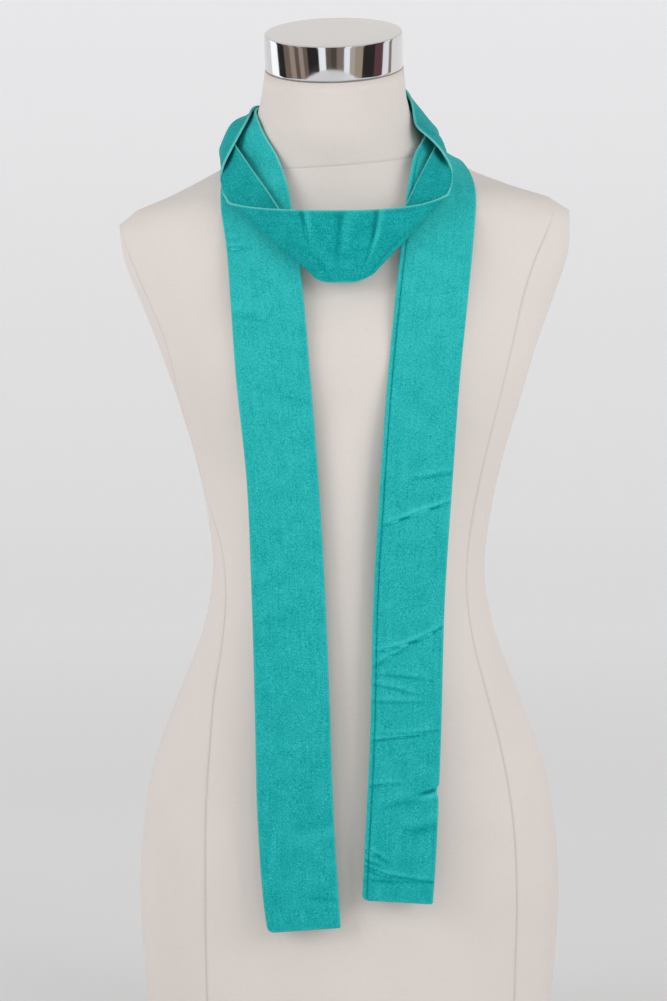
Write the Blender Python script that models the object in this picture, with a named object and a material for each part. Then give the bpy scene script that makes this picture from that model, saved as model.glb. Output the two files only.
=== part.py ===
"""A skinny faux-suede scarf, wound once round the neck of a limbless dress form.

Units: metres in Blender, millimetres in the tables below. +Z is up, the form faces -Y, and the
origin is on the floor under the middle of its base.

The scarf is one long ribbon. Its middle hangs in front of the neck, both halves go back over the
shoulders, cross behind the neck and come forward again under the loop, where the two ends hang.
SCARF_ROWS follows it from the end of one tail to the end of the other.
"""

from collections import namedtuple
import math

import bmesh
import bpy
from mathutils import Vector
from mathutils.bvhtree import BVHTree

MM = 0.001

# Cloth
CLOTH_WALL = 1.6  # two layers of microsuede
SEAM_GAP = 0.4  # between one stretch of the scarf and the next
RIBBON_STEP = 11.0  # longest quad along the ribbon
RIBBON_COLUMNS = 6  # quads across the ribbon
FORM_LIFT = 2.0  # from the form to the middle of the layer on it
LAYER_LIFT = 3.4  # between the middles of two layers that cross
FORM_REACH = 1000.0
LAYER_REACH = 7.0  # how far past a ribbon's edge the one above it still feels it
DEEPEST_PUSH = 14.0  # deeper than this, a point belongs behind the surface
SETTLE_TURNS = 6
NORMAL_TURNS = 2

# Dress form
FORM_SIDES = 48
FORM_RING_STEP = 20.0
ROLL_FROM_HEIGHT = 560.0  # the shoulders lean a little to one side
ROLL_FULL_HEIGHT = 703.0
ROLL_DEGREES = 1.9
ROLL_FADES_HEIGHT = 716.0  # and the lean fades again up the neck
ROLL_GONE_HEIGHT = 787.0
BUST_HEIGHT = 604.0
BUST_SPREAD = 76.0
BUST_DEPTH = 14.0
BUST_RADIUS_X = 52.0
BUST_RADIUS_Z = 58.0
HOLLOW_HEIGHT = 492.0
HOLLOW_SPREAD = 98.0
HOLLOW_DEPTH = 11.0
HOLLOW_RADIUS_X = 40.0
HOLLOW_RADIUS_Z = 52.0

# Neck cap
CAP_CENTRE = (-9.5, -43.52, 867.93)  # middle of its top face
CAP_RADIUS = 57.0
CAP_HEIGHT = 30.0
CAP_BEVEL = 1.4
CAP_BEVEL_STEPS = 3
CAP_PITCH_DEGREES = 15.0
CAP_SIDES = 64

FormRow = namedtuple("FormRow", "height centre_x centre_y half_width front back power pitch")
FORM_ROWS = [
    FormRow(0, -1, 0, 162, 94, 108, 2.3, 0),
    FormRow(60, -1, 0, 171, 99, 118, 2.3, 0),
    FormRow(118, -1, 0, 176, 102, 124, 2.3, 0),
    FormRow(160, -1, 0, 177, 103, 125, 2.3, 0),
    FormRow(219, -1, 0, 172, 103.5, 121, 2.3, 0),
    FormRow(270, -1, 0, 161, 104.5, 112, 2.25, 0),
    FormRow(320, -1, 0, 142, 106, 98, 2.2, 0),
    FormRow(370, -1, 0, 123, 108.5, 82, 2.15, 0),
    FormRow(421, -1, 0, 114, 111.5, 72, 2.1, 0),
    FormRow(470, -1, 0, 119, 114, 71, 2.1, 0),
    FormRow(520, -1, 0, 130, 116, 78, 2.1, 0),
    FormRow(560, -1, 0, 142, 116, 86, 2.15, 0),
    FormRow(604, -2, 0, 156, 114, 94, 2.2, 0),
    FormRow(648, -2.2, 0, 172.4, 104.5, 98, 2.3, 0),
    FormRow(680, -3, 0, 184.3, 96, 98, 2.4, 0),
    FormRow(703, -4.8, 0, 187.7, 88, 94, 2.45, 0),
    FormRow(716, -5.5, 0, 187.8, 83, 88, 2.65, 0),
    FormRow(728, -6.2, -1, 171.2, 80, 80, 2.5, 1),
    FormRow(738, -6.3, -3, 143.2, 77, 71, 2.2, 2),
    FormRow(748, -7.4, -6, 119.6, 73, 63, 2.15, 4),
    FormRow(758, -7.4, -10, 99, 68, 58, 2.1, 6),
    FormRow(769, -8.2, -15, 84, 64, 57, 2.0, 8),
    FormRow(781, -9.3, -20, 73, 62, 58, 2.0, 10),
    FormRow(795, -10.6, -25, 65.8, 61, 59, 2.0, 12),
    FormRow(812, -10.8, -30, 60.4, 59, 58, 2.0, 14),
    FormRow(838.66, -9.5, -35.68, 57, 57, 57, 2.0, 15),
]

# Each row is one line across the ribbon, from its neck edge (a) to its outer edge (b). crown swells
# the ribbon outwards between them, pleat ripples it, and layer counts the cloth underneath it.
ScarfRow = namedtuple("ScarfRow", "stretch ax ay az bx by bz crown pleat layer")
SCARF_ROWS = [
    ScarfRow("left_tail", 4.4, -117, 139, -55.8, -117, 133.5, 0, 0, 0),
    ScarfRow("left_tail", 2.8, -117, 162, -59.5, -117, 161, 1, 0, 0),
    ScarfRow("left_tail", -1.3, -117, 228, -64.0, -117, 227, 1, 0, 0),
    ScarfRow("left_tail", -4.6, -119, 326, -66.0, -119, 325, 1, 0, 0),
    ScarfRow("left_tail", -8.4, -122, 424, -68.3, -122, 423, 2, 0, 0),
    ScarfRow("left_tail", -13.0, -124, 505, -71.5, -124, 504, 2, 0, 0),
    ScarfRow("left_tail", -19.3, -125, 586, -79.8, -124, 585, 2, 0, 0),
    ScarfRow("left_tail", -25.8, -116, 650, -86.2, -110, 649, 2, 0, 0),
    ScarfRow("left_tail", -32.0, -102, 694, -92.2, -90, 694, 2, 0, 0),
    ScarfRow("left_tail", -38.1, -92, 722, -98.3, -76, 722, 2, 0, 0),
    ScarfRow("left_tail", -42.3, -86, 743, -100.5, -60, 740, 2, 0, 0),
    ScarfRow("left_tail", -47.9, -78, 756.6, -100.5, -48, 749, 2, 0, 0),
    ScarfRow("left_tail", -55.0, -71.5, 771.3, -101.0, -36, 757, 3, 0, 0),
    ScarfRow("left_tail", -63.4, -64.5, 782.5, -103.0, -22, 762, 4, 0, 0),
    ScarfRow("left_tail", -67.6, -58, 792.2, -103.0, -8, 767, 6, 0, 0),
    ScarfRow("nape_upper", -73.5, -30, 804.5, -90.0, 20, 773, 4, 0, 0),
    ScarfRow("nape_upper", -68.5, -7, 809, -76.0, 31, 775, 2, 0, 0),
    ScarfRow("nape_upper", -60.0, 6, 823, -62.0, 38, 782, 1, 0, 0),
    ScarfRow("nape_upper", -36.0, 18, 838, -38.0, 42, 791, 1, 1.5, 0),
    ScarfRow("nape_upper", -9.0, 22, 842, -9.0, 44, 790, 1, 3, 0),
    ScarfRow("nape_upper", 20.0, 18, 835, 22.0, 46, 784, 1, 3, 0.4),
    ScarfRow("nape_upper", 40.0, 4, 826, 46.0, 42, 782, 1, 1, 0.5),
    ScarfRow("right_loop", 48.8, -12, 818.5, 60.0, 36, 784, 4, 0, 0.3),
    ScarfRow("right_loop", 53.3, -28, 805, 66.0, 34, 780, 7, 0, 0.2),
    ScarfRow("right_loop", 57.9, -47, 790, 71.0, 28, 776, 10, 0, 0.3),
    ScarfRow("right_loop", 65.9, -56, 784.3, 70.0, 18, 777, 7, 0, 2.0),
    ScarfRow("right_loop", 73.4, -61, 778.5, 70.0, 8, 782, 5, 0, 1.8),
    ScarfRow("right_loop", 80.5, -63, 771, 70.5, 0, 784, 4, 0, 1.5),
    ScarfRow("right_loop", 85.5, -63, 764, 71.5, -8, 784, 3, 0, 1.2),
    ScarfRow("right_loop", 88.0, -64, 759, 72.5, -20, 781, 2, 0, 1),
    ScarfRow("right_loop", 89.8, -67, 755, 73.0, -42, 773, 2, 0, 1),
    ScarfRow("right_loop", 91.0, -72, 749, 72.0, -64, 767, 2, 0, 1),
    ScarfRow("right_loop", 90.6, -80, 741, 62.5, -84, 745, 2, 0, 1),
    ScarfRow("front", 89.4, -85, 737, 50.0, -100, 716, 2, 0, 1),
    ScarfRow("front", 88.8, -88, 735, 34.0, -111, 678.5, 1, 0, 1),
    ScarfRow("front", 89.8, -90, 735.6, 33.0, -114, 676, 0, 0, 1),
    ScarfRow("front", 87.5, -94, 734, 31.5, -117, 673.5, 1, 0, 1),
    ScarfRow("front", 70.0, -106, 727.5, 28.0, -120, 669.3, 2, 0, 1),
    ScarfRow("front", 38.0, -120, 723, 18.0, -122, 664.5, 2, 0, 1),
    ScarfRow("front", 3.6, -125, 721.9, 3.0, -122, 663.7, 2, 0, 1),
    ScarfRow("front", -29.1, -121, 722.3, -7.0, -121, 663.8, 2, 0, 1),
    ScarfRow("front", -62.0, -108, 723.9, -13.5, -120, 666, 2, 0, 1),
    ScarfRow("front", -89.0, -92, 727.5, -17.5, -118, 670.7, 1, 0, 1),
    ScarfRow("front", -91.0, -88.5, 728.3, -18.5, -115, 672, 0, 0, 1),
    ScarfRow("front", -92.3, -85.5, 729.6, -20.0, -111, 674, 1, 0, 1),
    ScarfRow("left_loop", -94.0, -82, 732, -38.0, -104, 708, 2, 0, 1),
    ScarfRow("left_loop", -97.2, -76, 736, -57.0, -91, 736, 2, 0, 1),
    ScarfRow("left_loop", -99.0, -69, 742, -74.0, -75, 757, 2, 0, 1),
    ScarfRow("left_loop", -100.5, -64, 747, -87.0, -56, 773, 2, 0, 1),
    ScarfRow("left_loop", -100.4, -62, 750, -96.0, -24, 780, 1, 0, 1),
    ScarfRow("left_loop", -99.9, -62, 752.5, -104.0, 2, 775, 0, 0, 1.5),
    ScarfRow("left_loop", -98.9, -62, 757, -107.0, 10, 777, 2.5, 1, 2.2),
    ScarfRow("left_loop", -96.5, -60, 762.5, -106.0, 16, 779, 4, 0.5, 2.2),
    ScarfRow("left_loop", -90.5, -56, 774, -104.0, 24, 782, 7, 0, 2.2),
    ScarfRow("left_loop", -83.6, -50, 786.4, -96.0, 34, 783, 13, 0, 1.6),
    ScarfRow("left_loop", -76.6, -43, 798.6, -88.0, 42, 778, 11, 0, 1.2),
    ScarfRow("left_loop", -74.5, -12, 807.6, -80.0, 46, 770, 8, 0, 1),
    ScarfRow("nape_lower", -68.0, 6, 807, -64.0, 54, 758, 2, 0, 1.2),
    ScarfRow("nape_lower", -46.0, 37, 798, -40.0, 61, 748, 1, 1, 0.9),
    ScarfRow("nape_lower", -9.0, 46, 787.5, -9.0, 64, 740, 1, 3, 0),
    ScarfRow("nape_lower", 26.0, 40, 786, 26.0, 60, 740, 1, 3, 0),
    ScarfRow("nape_lower", 50.0, 18, 788, 54.0, 44, 752, 1, 2, 0),
    ScarfRow("right_tail", 60.0, -8, 791, 74.0, 20, 762, 0, 0, 0),
    ScarfRow("right_tail", 64.0, -28, 787, 90.0, 0, 762, -2, 0, 0),
    ScarfRow("right_tail", 66.0, -43, 782, 97.5, -18, 755, -3, 0, 0),
    ScarfRow("right_tail", 59.5, -62, 770, 103.0, -37, 747, -1, 0, 0),
    ScarfRow("right_tail", 57.0, -75, 756, 106.5, -52, 737.5, 1, 0, 0),
    ScarfRow("right_tail", 55.0, -86, 738, 108.7, -68, 723, 2, 0, 0),
    ScarfRow("right_tail", 51.5, -101, 697, 108.8, -88, 696, 2, 0, 0),
    ScarfRow("right_tail", 47.8, -115, 650, 105.9, -108, 650, 2, 0, 0),
    ScarfRow("right_tail", 42.5, -124, 586, 100.5, -121, 586, 2, 0, 0),
    ScarfRow("right_tail", 36.5, -124, 500, 94.8, -123, 500, 2, 0, 0),
    ScarfRow("right_tail", 31.0, -121, 410, 89.0, -121, 410, 1, 0, 0),
    ScarfRow("right_tail", 28.0, -118, 294, 85.8, -118, 294, 1, 0, 0),
    ScarfRow("right_tail", 23.2, -117, 196, 81.9, -117, 196, 1, 0, 0),
    ScarfRow("right_tail", 21.6, -117, 162, 79.5, -117, 160, 0, 0, 0),
]


def clear_scene():
    for old in list(bpy.data.objects):
        bpy.data.objects.remove(old, do_unlink=True)


def new_collection(name):
    collection = bpy.data.collections.new(name)
    bpy.context.scene.collection.children.link(collection)
    return collection


def principled(name, colour, roughness, metallic=0.0):
    material = bpy.data.materials.new(name)
    material.use_nodes = True
    shader = material.node_tree.nodes["Principled BSDF"]
    shader.inputs["Base Color"].default_value = (*colour, 1.0)
    shader.inputs["Roughness"].default_value = roughness
    shader.inputs["Metallic"].default_value = metallic
    return material


def object_from(bm, name, material, collection):
    mesh = bpy.data.meshes.new(name)
    bm.to_mesh(mesh)
    bm.free()
    mesh.materials.append(material)
    obj = bpy.data.objects.new(name, mesh)
    collection.objects.link(obj)
    return obj


def curve_point(values, gaps, span, share):
    """The smooth curve through values that lie gaps apart, at a share of the way along one span."""
    start = values[span]
    end = values[span + 1]
    gap = gaps[span]
    slope = (end - start) / gap
    start_slope = slope
    end_slope = slope
    if span > 0:
        before = (start - values[span - 1]) / gaps[span - 1]
        start_slope = (before * gap + slope * gaps[span - 1]) / (gap + gaps[span - 1])
    if span + 2 < len(values):
        after = (values[span + 2] - end) / gaps[span + 1]
        end_slope = (after * gap + slope * gaps[span + 1]) / (gap + gaps[span + 1])
    rest = 1 - share
    return (
        start * (1 + 2 * share) * rest**2
        + start_slope * gap * share * rest**2
        + end * (1 + 2 * rest) * share**2
        - end_slope * gap * rest * share**2
    )


def curve_gaps(points):
    """Gaps for curve_point that keep a curve free of loops where its points crowd together."""
    return [math.sqrt((end - start).length) for start, end in zip(points, points[1:])]


def smooth_step(low, high, value):
    share = min(max((value - low) / (high - low), 0.0), 1.0)
    return share * share * (3 - 2 * share)


def loft(bm, loops):
    """Quads between each closed loop of vertices and the next."""
    for lower, upper in zip(loops, loops[1:]):
        for number in range(len(lower)):
            following = (number + 1) % len(lower)
            bm.faces.new((lower[number], lower[following], upper[following], upper[number]))


# ---------------------------------------------------------------- dress form


def form_rings():
    """The form's sections, closer together than FORM_ROWS and smooth between them."""
    rings = []
    gaps = [1.0] * len(FORM_ROWS)
    for span in range(len(FORM_ROWS) - 1):
        rise = FORM_ROWS[span + 1].height - FORM_ROWS[span].height
        count = max(1, round(rise / FORM_RING_STEP))
        for step in range(count):
            share = step / count
            ring = [curve_point(column, gaps, span, share) for column in zip(*FORM_ROWS)]
            rings.append(FormRow(*ring))
    rings.append(FORM_ROWS[-1])
    return rings


def mound(x, height, spread, middle, radius_x, radius_z):
    """How much of a soft mound, one on each side, there is at a place."""
    across = (abs(x) - spread) / radius_x
    along = (height - middle) / radius_z
    return math.exp(-(across**2) - along**2)


def bust(x, height):
    """How far the front stands out at the bust, and falls back below it."""
    out = mound(x, height, BUST_SPREAD, BUST_HEIGHT, BUST_RADIUS_X, BUST_RADIUS_Z)
    back = mound(x, height, HOLLOW_SPREAD, HOLLOW_HEIGHT, HOLLOW_RADIUS_X, HOLLOW_RADIUS_Z)
    return BUST_DEPTH * out - HOLLOW_DEPTH * back


def form_point(ring, angle):
    """A point on one section, which is a superellipse with its own front and back depths."""
    cosine = math.cos(angle)
    sine = math.sin(angle)
    x = ring.half_width * math.copysign(abs(cosine) ** (2 / ring.power), cosine)
    depth = ring.front if sine < 0 else ring.back
    y = depth * math.copysign(abs(sine) ** (2 / ring.power), sine)
    if sine < 0:
        y -= bust(x, ring.height) * min(1.0, -2 * sine)
    pitch = math.radians(ring.pitch)
    z = ring.height + y * math.sin(pitch)
    y = ring.centre_y + y * math.cos(pitch)
    roll = math.radians(ROLL_DEGREES) * smooth_step(ROLL_FROM_HEIGHT, ROLL_FULL_HEIGHT, ring.height)
    roll *= 1 - smooth_step(ROLL_FADES_HEIGHT, ROLL_GONE_HEIGHT, ring.height)
    return Vector((x + ring.centre_x, y, z + x * math.sin(roll))) * MM


def add_form_body(collection, material):
    bm = bmesh.new()
    loops = []
    for ring in form_rings():
        circle = bmesh.ops.create_circle(bm, segments=FORM_SIDES, radius=1.0, cap_ends=False)
        for number, vert in enumerate(circle["verts"]):
            vert.co = form_point(ring, math.tau * number / FORM_SIDES)
        loops.append(circle["verts"])
    loft(bm, loops)
    bm.faces.new(list(reversed(loops[0])))
    bm.faces.new(loops[-1])
    obj = object_from(bm, "form_body", material, collection)
    obj.data.shade_smooth()
    return obj


def add_neck_cap(collection, material):
    """A plain turned disc, tilted with the neck, its underside 0.3 mm clear of the neck's end."""
    bm = bmesh.new()
    bmesh.ops.create_cone(
        bm,
        cap_ends=True,
        segments=CAP_SIDES,
        radius1=CAP_RADIUS * MM,
        radius2=CAP_RADIUS * MM,
        depth=CAP_HEIGHT * MM,
    )
    rims = [edge for edge in bm.edges if edge.verts[0].co.z * edge.verts[1].co.z > 0]
    bmesh.ops.bevel(
        bm,
        geom=rims,
        offset=CAP_BEVEL * MM,
        segments=CAP_BEVEL_STEPS,
        profile=0.5,
        affect="EDGES",
    )
    bmesh.ops.translate(bm, verts=bm.verts, vec=(0, 0, -CAP_HEIGHT * MM / 2))
    obj = object_from(bm, "neck_cap", material, collection)
    obj.location = Vector(CAP_CENTRE) * MM
    obj.rotation_euler.x = math.radians(CAP_PITCH_DEGREES)
    obj.data.shade_smooth()
    return obj


# ---------------------------------------------------------------- scarf


def edge_a(row):
    return Vector((row.ax, row.ay, row.az))


def edge_b(row):
    return Vector((row.bx, row.by, row.bz))


def ribbon_samples():
    """The table's columns all along the scarf, smooth between its rows and evenly spaced."""
    edges_a = [edge_a(row) for row in SCARF_ROWS]
    edges_b = [edge_b(row) for row in SCARF_ROWS]
    gaps_a = curve_gaps(edges_a)
    gaps_b = curve_gaps(edges_b)
    gaps = [(gap_a + gap_b) / 2 for gap_a, gap_b in zip(gaps_a, gaps_b)]
    columns = {
        "a": (edges_a, gaps_a),
        "b": (edges_b, gaps_b),
        "crown": ([row.crown for row in SCARF_ROWS], gaps),
        "pleat": ([row.pleat for row in SCARF_ROWS], gaps),
        "layer": ([row.layer for row in SCARF_ROWS], gaps),
    }
    samples = []
    for span in range(len(SCARF_ROWS) - 1):
        row = SCARF_ROWS[span]
        length = max(
            (edges_a[span + 1] - edges_a[span]).length,
            (edges_b[span + 1] - edges_b[span]).length,
        )
        count = max(1, round(length / RIBBON_STEP))
        last_span = span == len(SCARF_ROWS) - 2
        for step in range(count + last_span):
            sample = {
                name: curve_point(values, spacing, span, step / count)
                for name, (values, spacing) in columns.items()
            }
            sample["stretch"] = row.stretch
            samples.append(sample)
    return samples


def ribbon_line(samples, number):
    """The points of one line across the ribbon, in millimetres, swollen along its normal."""
    here = samples[number]
    before = samples[max(number - 1, 0)]
    after = samples[min(number + 1, len(samples) - 1)]
    travel = (after["a"] + after["b"]) - (before["a"] + before["b"])
    across = here["b"] - here["a"]
    normal = travel.cross(across).normalized()
    points = []
    for column in range(RIBBON_COLUMNS + 1):
        share = column / RIBBON_COLUMNS
        swell = here["crown"] * math.sin(math.pi * share)
        swell += here["pleat"] * math.sin(3 * math.pi * share)
        points.append(here["a"] + across * share + normal * swell)
    return points


def form_surface(form):
    return BVHTree.FromPolygons(
        [vert.co / MM for vert in form.data.vertices],
        [polygon.vertices for polygon in form.data.polygons],
    )


def ribbon_surface(lines):
    """The middle surface of a run of the ribbon, its normals away from the neck."""
    columns = len(lines[0])
    quads = []
    for row in range(len(lines) - 1):
        for column in range(columns - 1):
            corner = row * columns + column
            quads.append((corner, corner + columns, corner + columns + 1, corner + 1))
    return BVHTree.FromPolygons([point for line in lines for point in line], quads)


def push_clear(point, lift, surface, reach):
    """How far a point moves to be at least lift above a surface, fading out past its edges."""
    place, normal, _, _ = surface.find_nearest(point)
    offset = point - place
    height = offset.dot(normal)
    aside = (offset - normal * height).length
    if height >= lift or height < -DEEPEST_PUSH or aside > reach:
        return Vector()
    return normal * (lift - height) * (1 - aside / reach)


def settle_on(lines, lifts, surface, reach):
    """Moves the lines clear of a surface, spreading each move to its neighbours."""
    start = [list(line) for line in lines]
    for turn in range(SETTLE_TURNS):
        moved = [
            [point + push_clear(point, lift, surface, reach) for point in line]
            for line, lift in zip(lines, lifts)
        ]
        if turn == SETTLE_TURNS - 1:
            return moved
        lines = [list(line) for line in moved]
        for row in range(1, len(lines) - 1):
            for column in range(len(lines[row])):
                shifts = [
                    moved[near][column] - start[near][column] for near in (row - 1, row, row + 1)
                ]
                average = (shifts[0] + shifts[1] * 2 + shifts[2]) / 4
                lines[row][column] = start[row][column] + average
    return lines


def lies_over(stretch, x):
    """The stretches that a line of the ribbon passes over, which lie between it and the neck."""
    if stretch in ("front", "left_loop", "nape_lower") and x < 0:
        return ("left_tail", "nape_upper")
    if stretch in ("front", "right_loop", "nape_upper") and x > 0:
        return ("right_tail", "nape_lower")
    return ()


def settled_lines(samples, form):
    """Every line across the scarf, clear of the form and of the cloth that lies under it."""
    lines = [ribbon_line(samples, number) for number in range(len(samples))]
    lifts = [FORM_LIFT + LAYER_LIFT * sample["layer"] for sample in samples]
    lines = settle_on(lines, lifts, form_surface(form), FORM_REACH)
    for under in (("left_tail", "nape_upper"), ("right_tail", "nape_lower")):
        below = [number for number, sample in enumerate(samples) if sample["stretch"] in under]
        surface = ribbon_surface([lines[number] for number in below])
        above = [
            number
            for number, sample in enumerate(samples)
            if lies_over(sample["stretch"], sample["a"].x) == under
        ]
        lifts = [LAYER_LIFT * max(1.0, samples[number]["layer"]) for number in above]
        moved = settle_on([lines[number] for number in above], lifts, surface, LAYER_REACH)
        for number, line in zip(above, moved):
            lines[number] = line
    return lines


def grid_normals(lines):
    """The ribbon's normals, away from the neck, evened out between neighbours."""
    rows = len(lines)
    columns = len(lines[0])
    normals = []
    for row in range(rows):
        before = lines[max(row - 1, 0)]
        here = lines[row]
        after = lines[min(row + 1, rows - 1)]
        normals.append([])
        for column in range(columns):
            travel = after[column] - before[column]
            across = here[min(column + 1, columns - 1)] - here[max(column - 1, 0)]
            normals[-1].append(travel.cross(across).normalized())
    for _ in range(NORMAL_TURNS):
        rough = normals
        normals = []
        for row in range(rows):
            normals.append([])
            for column in range(columns):
                total = (
                    rough[row][column] * 2
                    + rough[max(row - 1, 0)][column]
                    + rough[min(row + 1, rows - 1)][column]
                    + rough[row][max(column - 1, 0)]
                    + rough[row][min(column + 1, columns - 1)]
                )
                normals[-1].append(total.normalized())
    return normals


def cloth_sections(lines):
    """For each line, the outer and the inner face of the cloth."""
    sections = []
    for line, normals in zip(lines, grid_normals(lines)):
        outer = [point + normal * CLOTH_WALL / 2 for point, normal in zip(line, normals)]
        inner = [point - normal * CLOTH_WALL / 2 for point, normal in zip(line, normals)]
        sections.append((outer, inner))
    return sections


def short_of(section, following):
    """The section that ends SEAM_GAP before the following one."""
    return tuple(
        [after + (point - after).normalized() * SEAM_GAP for point, after in zip(here, there)]
        for here, there in zip(section, following)
    )


def add_stretch(name, sections, collection, material):
    """One stretch of the ribbon: a closed loft through its sections, with a strip at each end."""
    bm = bmesh.new()
    loops = []
    for outer, inner in sections:
        around = inner + list(reversed(outer))
        loops.append([bm.verts.new(point * MM) for point in around])
    loft(bm, loops)
    for loop, backwards in ((loops[0], True), (loops[-1], False)):
        for column in range(len(loop) // 2 - 1):
            near = loop[column]
            far = loop[column + 1]
            outer_far = loop[-column - 2]
            outer_near = loop[-column - 1]
            for corners in ((near, far, outer_far), (near, outer_far, outer_near)):
                bm.faces.new(reversed(corners) if backwards else corners)
    obj = object_from(bm, "scarf_" + name, material, collection)
    obj.data.shade_smooth()
    return obj


def add_scarf(collection, material, form):
    samples = ribbon_samples()
    sections = cloth_sections(settled_lines(samples, form))
    start = 0
    for number in range(1, len(samples) + 1):
        if number == len(samples):
            add_stretch(samples[start]["stretch"], sections[start:number], collection, material)
        elif samples[number]["stretch"] != samples[start]["stretch"]:
            end = short_of(sections[number - 1], sections[number])
            stretch = sections[start:number] + [end]
            add_stretch(samples[start]["stretch"], stretch, collection, material)
            start = number


def main():
    clear_scene()
    collection = new_collection("skinny_scarf_on_dress_form")
    suede = principled("teal microsuede", (0.012, 0.37, 0.36), 0.85)
    jersey = principled("cream jersey", (0.72, 0.66, 0.62), 0.8)
    chrome = principled("chrome", (0.75, 0.75, 0.76), 0.12, metallic=1.0)
    form = add_form_body(collection, jersey)
    add_neck_cap(collection, chrome)
    add_scarf(collection, suede, form)


main()
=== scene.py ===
"""The looks of a teal faux-suede skinny scarf on a padded dress form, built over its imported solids.

Units: metres in Blender, millimetres in the tables below. +Z is up and the form faces -Y.
"""

from collections import namedtuple
import math

import bpy
import numpy as np
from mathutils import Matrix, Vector
from mathutils.bvhtree import BVHTree


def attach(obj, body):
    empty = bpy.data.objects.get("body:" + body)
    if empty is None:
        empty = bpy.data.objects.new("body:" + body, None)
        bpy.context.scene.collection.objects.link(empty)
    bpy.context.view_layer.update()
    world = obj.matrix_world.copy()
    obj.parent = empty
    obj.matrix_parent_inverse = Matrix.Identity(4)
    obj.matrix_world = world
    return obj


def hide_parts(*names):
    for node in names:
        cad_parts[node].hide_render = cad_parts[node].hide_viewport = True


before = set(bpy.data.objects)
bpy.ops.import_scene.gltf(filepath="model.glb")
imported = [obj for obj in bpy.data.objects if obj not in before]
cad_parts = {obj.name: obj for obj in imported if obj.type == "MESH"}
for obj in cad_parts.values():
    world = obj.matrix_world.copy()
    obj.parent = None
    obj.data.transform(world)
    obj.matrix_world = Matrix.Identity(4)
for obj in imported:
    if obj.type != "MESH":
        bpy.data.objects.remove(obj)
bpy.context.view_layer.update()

MM = 0.001

# Cloth, as in the solids
CLOTH_WALL = 1.6
RIBBON_STEP = 11.0
RIBBON_COLUMNS = 6
FORM_LIFT = 2.0
LAYER_LIFT = 3.4
FORM_REACH = 1000.0
LAYER_REACH = 7.0
DEEPEST_PUSH = 14.0
SETTLE_TURNS = 6

# Cloth, finer than in the solids
PLAIN_STEP = 3.8  # between lines across the ribbon
CLOSE_STEP = 1.15  # and where it is creased or ends
CLOSE_RUNS = [(0.0, 34.0), (1060.0, 1170.0), (1880.0, 3000.0)]  # along from the left tail's end
RELAX_TURNS = 5
NORMAL_TURNS = 3
RIBBON_WIDTH = 60.0
EDGE_PLACES = [0.0, 0.2, 0.6, 1.1, 1.8, 2.6, 3.4, 4.0, 4.6, 5.6, 7.5]  # mm from each edge
MIDDLE_COLUMNS = 20
EDGE_ROUND = 0.9  # how far in from its folded edge the cloth reaches its full thickness
EDGE_PUFF = 0.3  # the folded edge stands a little thicker than the middle
EDGE_PUFF_PLACE = 1.5
EDGE_PUFF_WIDTH = 1.2
CAVITY_SHARE = 0.35  # the hollow between the two layers, as a share of the whole thickness
CAVITY_EDGE = 0.5
CAVITY_ROW_STEP = 8  # the hollow's skin keeps one line in so many
PAINTED_HIGHLIGHT_WIDTH = 1.0  # painted highlight: the cloth is painted paler this far in from a folded edge
ROUND_CORNER = 5.0  # one corner of each tail is rounded
SHARP_CORNER = 1.2  # and the other is almost sharp
SEAM_PLACE = 4.0  # the long seam, from the neck edge
SEAM_DEPTH = 0.45
SEAM_WIDTH = 0.55
HEM_PLACE = 17.0  # the hem's line, from the tail's end
HEM_DEPTH = 0.4
HEM_WIDTH = 0.9
NOTCH_PLACE = 2153.0  # along the ribbon from the left tail's end
NOTCH_DEPTH = 2.4
NOTCH_SHARP = 1.2
NOTCH_SOFT = 7.0
NOTCH_FROM = 0.6  # share of the way across where the notch starts
CREASE_SHARP = 1.15  # the painted shade line in a crease is this much narrower than its trough
CREASE_FADE = 0.7  # how quickly a crease dies out towards its ends
RIDGE_SHARE = 0.5  # the ridges beside a trough, as shares of its depth
LIP_SHARE = 0.3
RIDGE_PLACE = 1.9  # and in half widths of it
RIDGE_WIDTH = 1.3
TIP_EDGE = 0.15  # what the cloth keeps of its rounded edge at its very ends
TAIL_LENGTHS = (600.0, 640.0)  # how far along from its end each tail turns into its loop
SHOULDER_LENGTHS = (740.0, 800.0)  # how far along from its end each half hangs upright, where a painted sheen makes it lighter
TAIL_HIGHLIGHT_SHARE = 0.35  # the painted edge highlight is weaker along the tails' edges
SEAM_PAINTED_SHADE = 0.9  # how dark the painted shade in the seam's and the hem's grooves is
HEM_PAINTED_SHADE = 0.4
LEFT_HEM_SHARE = 0.15  # the left tail's hem hardly shows

# Dress form
ROLL_FROM_HEIGHT = 560.0
ROLL_FULL_HEIGHT = 703.0
ROLL_DEGREES = 1.9
ROLL_FADES_HEIGHT = 716.0
ROLL_GONE_HEIGHT = 787.0
BUST_HEIGHT = 604.0
BUST_SPREAD = 76.0
BUST_DEPTH = 14.0
BUST_RADIUS_X = 52.0
BUST_RADIUS_Z = 58.0
HOLLOW_HEIGHT = 492.0
HOLLOW_SPREAD = 98.0
HOLLOW_DEPTH = 11.0
HOLLOW_RADIUS_X = 40.0
HOLLOW_RADIUS_Z = 52.0
FORM_SIDES = 48
FORM_RING_STEP = 20.0
COVER_RING_STEP = 9.0
COVER_COLUMNS = [34, 22, 15, 15, 22]  # in the front, side, back, back and side panels
COVER_SEAM_DEPTH = 0.8
COVER_SEAM_WIDTH = 0.9
COVER_SEAM_FADES = (690.0, 725.0)  # heights over which the panels' seams end
FAR_FROM_SEAM = 1000.0
SMALL_TURN = 0.01  # radians
WIDEST_PANEL = 0.985  # a seam's furthest place round towards the side
MIN_PANEL_WIDTH = 182.0  # above the shoulders the unseen seams keep their spacing
COVER_SEAM_OFFSETS = [-4.5, -2.4, -1.1, -0.5, 0.0, 0.5, 1.1, 2.4, 4.5]
NECK_SEAM_PLACE = 20.72  # in rows of FORM_ROWS
NECK_SEAM_STEP = 0.09  # rows of FORM_ROWS in a millimetre there
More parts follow.
